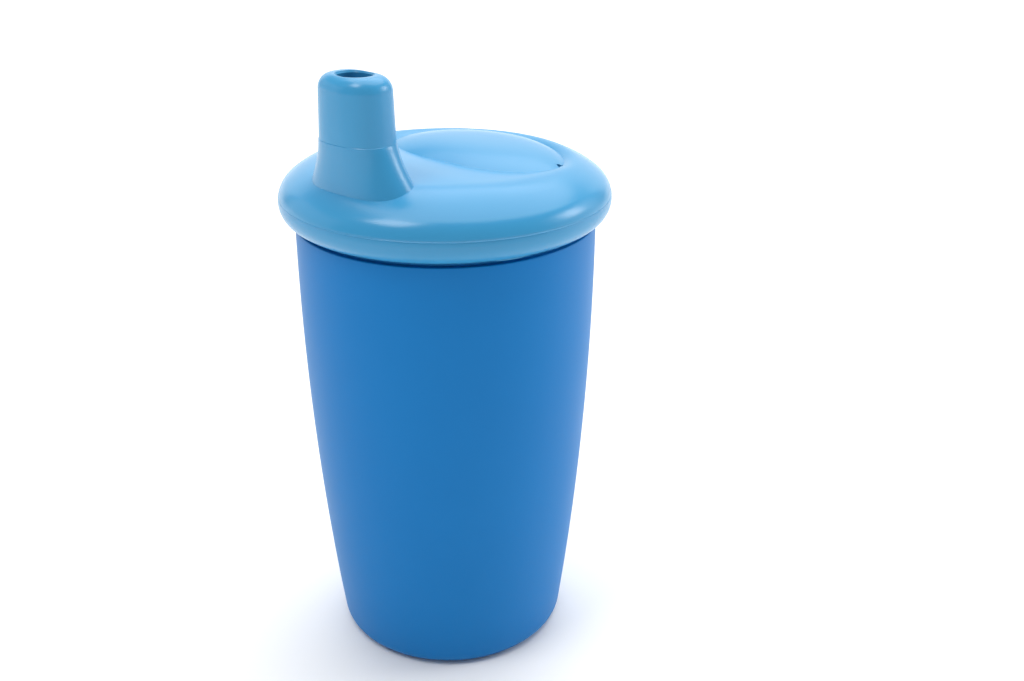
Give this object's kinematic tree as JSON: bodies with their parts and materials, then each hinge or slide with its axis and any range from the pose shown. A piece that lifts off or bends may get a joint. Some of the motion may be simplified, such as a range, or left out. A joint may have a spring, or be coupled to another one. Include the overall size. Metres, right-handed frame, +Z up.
{
  "type": "sippy cup",
  "caption": "Tapered tumbler with a screw lid that carries an oval drinking spout, a slit valve under it and a small vent valve.",
  "frame": {"origin": "centre of the base, on the surface that the cup stands on", "axes": "+Z up along the cup's axis; the spout stands on the -X side of the lid"},
  "size_m": [0.08, 0.08, 0.1494],
  "materials": {
    "tumbler_plastic": "satin moulded polypropylene, deep blue",
    "lid_plastic": "semi-gloss moulded polypropylene, light sky blue",
    "seal_silicone": "soft translucent white silicone",
    "holder_plastic": "matt moulded polypropylene, white",
    "valve_silicone": "soft translucent silicone"
  },
  "bodies": {
    "tumbler": {"tumbler": "tumbler_plastic"},
    "screw_link": {"lid_seal": "seal_silicone"},
    "lid": {"lid": "lid_plastic"},
    "valve": {"valve_holder": "holder_plastic", "slit_valve": "valve_silicone", "retaining_ring": "holder_plastic"},
    "vent": {"vent_valve": "valve_silicone"}
  },
  "joints": [
    {"name": "lid_rise", "type": "slide", "parent": "tumbler", "child": "screw_link", "axis": [0, 0, 1], "range_m": [0, 0.012]},
    {"name": "lid_turn", "type": "hinge", "parent": "screw_link", "child": "lid", "pos_m": [0, 0, 0.1165], "axis": [0, 0, 1], "range_deg": [0, 360]},
    {"name": "valve_pull", "type": "slide", "parent": "lid", "child": "valve", "axis": [0, 0, -1], "range_m": [0, 0.012]},
    {"name": "vent_pull", "type": "slide", "parent": "lid", "child": "vent", "axis": [0, 0, -1], "range_m": [0, 0.006]}
  ],
  "couplings": [
    {"joint": "lid_rise", "follows": "lid_turn", "m_per_rad": 0.0019099}
  ]
}
